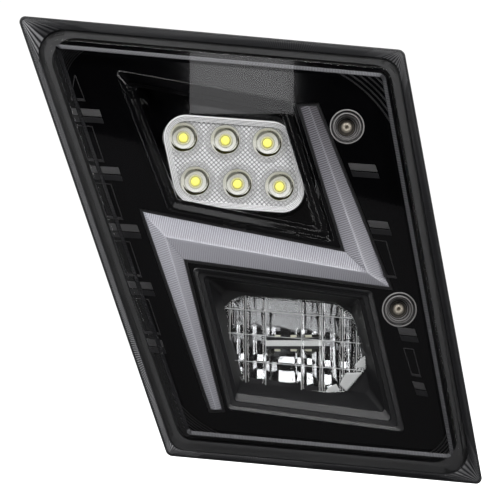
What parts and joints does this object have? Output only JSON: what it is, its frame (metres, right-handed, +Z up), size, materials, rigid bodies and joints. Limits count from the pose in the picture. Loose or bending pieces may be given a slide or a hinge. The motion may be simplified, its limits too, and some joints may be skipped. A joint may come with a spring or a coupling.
{
  "type": "headlight assembly",
  "caption": "Leaning four-sided front lamp: clear cover over a gloss black bezel, zigzag light guide, tilting LED block, fluted lower lamp, rear studs and socket",
  "frame": {"origin": "centre of the four rear mounting studs, on the plane their spacers seat against", "axes": "-Y is the way the lamp shines, +X is to the right seen from in front, +Z is up"},
  "size_m": [0.2405, 0.102, 0.2432],
  "materials": {
    "housing_black": "moulded black, fine grain",
    "sealant_grey": "cured lens sealant",
    "lens_clear": "clear hard-coated cover",
    "bezel_gloss_black": "high-gloss black",
    "screw_dark": "dark zinc plating, worn edges",
    "guide_frosted": "satin translucent with fine ribs",
    "board_white": "white solder mask",
    "led_ceramic": "fired white",
    "screw_steel": "zinc plated",
    "optic_clear": "clear moulded optic",
    "reflector_silver": "vacuum metallised",
    "phosphor_yellow": "phosphor in silicone",
    "led_silicone": "clear silicone dome",
    "pad_grey": "soft thermal pad",
    "heat_sink_aluminium": "die cast, fine grain",
    "frame_black": "glass-filled black",
    "nylon_white": "natural nylon",
    "gasket_black": "soft rubber",
    "pin_tin": "tin plated terminal",
    "seal_orange": "silicone seal",
    "board_green": "green solder mask",
    "parts_black": "component bodies",
    "stud_zinc": "yellow zinc"
  },
  "bodies": {
    "lamp_body": {"housing": "housing_black", "lens_seal": "sealant_grey", "outer_lens": "lens_clear", "main_bezel": "bezel_gloss_black", "bezel_screws": "screw_dark", "upper_pocket": "bezel_gloss_black", "lower_pocket": "bezel_gloss_black", "light_guide": "guide_frosted", "guide_tray": "bezel_gloss_black", "drl_board": "board_white", "drl_leds": "led_ceramic", "drl_board_screws": "screw_steel", "pivot_bracket_left": "frame_black", "pivot_bracket_right": "frame_black", "pivot_bushes": "nylon_white", "bracket_screws": "screw_steel", "adjuster_sleeve": "nylon_white", "adjuster_ring": "gasket_black", "lower_window": "optic_clear", "lower_reflector": "reflector_silver", "reflector_screws": "screw_steel", "blade_boards": "parts_black", "blade_leds": "led_ceramic", "lower_heat_sink": "heat_sink_aluminium", "heat_sink_gasket": "gasket_black", "heat_sink_screws": "screw_steel", "rear_cover": "frame_black", "cover_gasket": "gasket_black", "cover_screws": "screw_steel", "vent_caps": "gasket_black", "connector_socket": "frame_black", "connector_pins": "pin_tin", "connector_seal": "seal_orange", "connector_screws": "screw_steel", "driver_board": "board_green", "driver_parts": "parts_black", "driver_screws": "screw_steel", "mounting_studs": "stud_zinc", "stud_spacers": "housing_black"},
    "upper_module": {"module_cover": "optic_clear", "module_reflector": "reflector_silver", "module_board": "board_white", "module_leds": "led_ceramic", "led_phosphors": "phosphor_yellow", "led_domes": "led_silicone", "module_board_screws": "screw_steel", "module_thermal_pad": "pad_grey", "module_heat_sink": "heat_sink_aluminium", "module_frame": "frame_black"},
    "adjuster": {"adjuster_screw": "nylon_white", "adjuster_clip": "screw_steel"},
    "aiming_nut": {"adjuster_nut": "nylon_white"}
  },
  "joints": [
    {"name": "module_tilt", "type": "hinge", "parent": "lamp_body", "child": "upper_module", "pos_m": [-0.0082, -0.045, 0.0447], "axis": [1, 0, 0], "range_deg": [-3, 3]},
    {"name": "nut_slide", "type": "slide", "parent": "lamp_body", "child": "aiming_nut", "axis": [0, 1, 0], "range_m": [-0.00175, 0.00175]},
    {"name": "adjuster_spin", "type": "hinge", "parent": "lamp_body", "child": "adjuster", "pos_m": [-0.0082, -0.03, 0.013], "axis": [0, 1, 0], "range_deg": [-405, 405]}
  ],
  "couplings": [
    {"joint": "nut_slide", "follows": "module_tilt", "m_per_rad": 0.0317},
    {"joint": "adjuster_spin", "follows": "module_tilt", "ratio": -132.78}
  ]
}
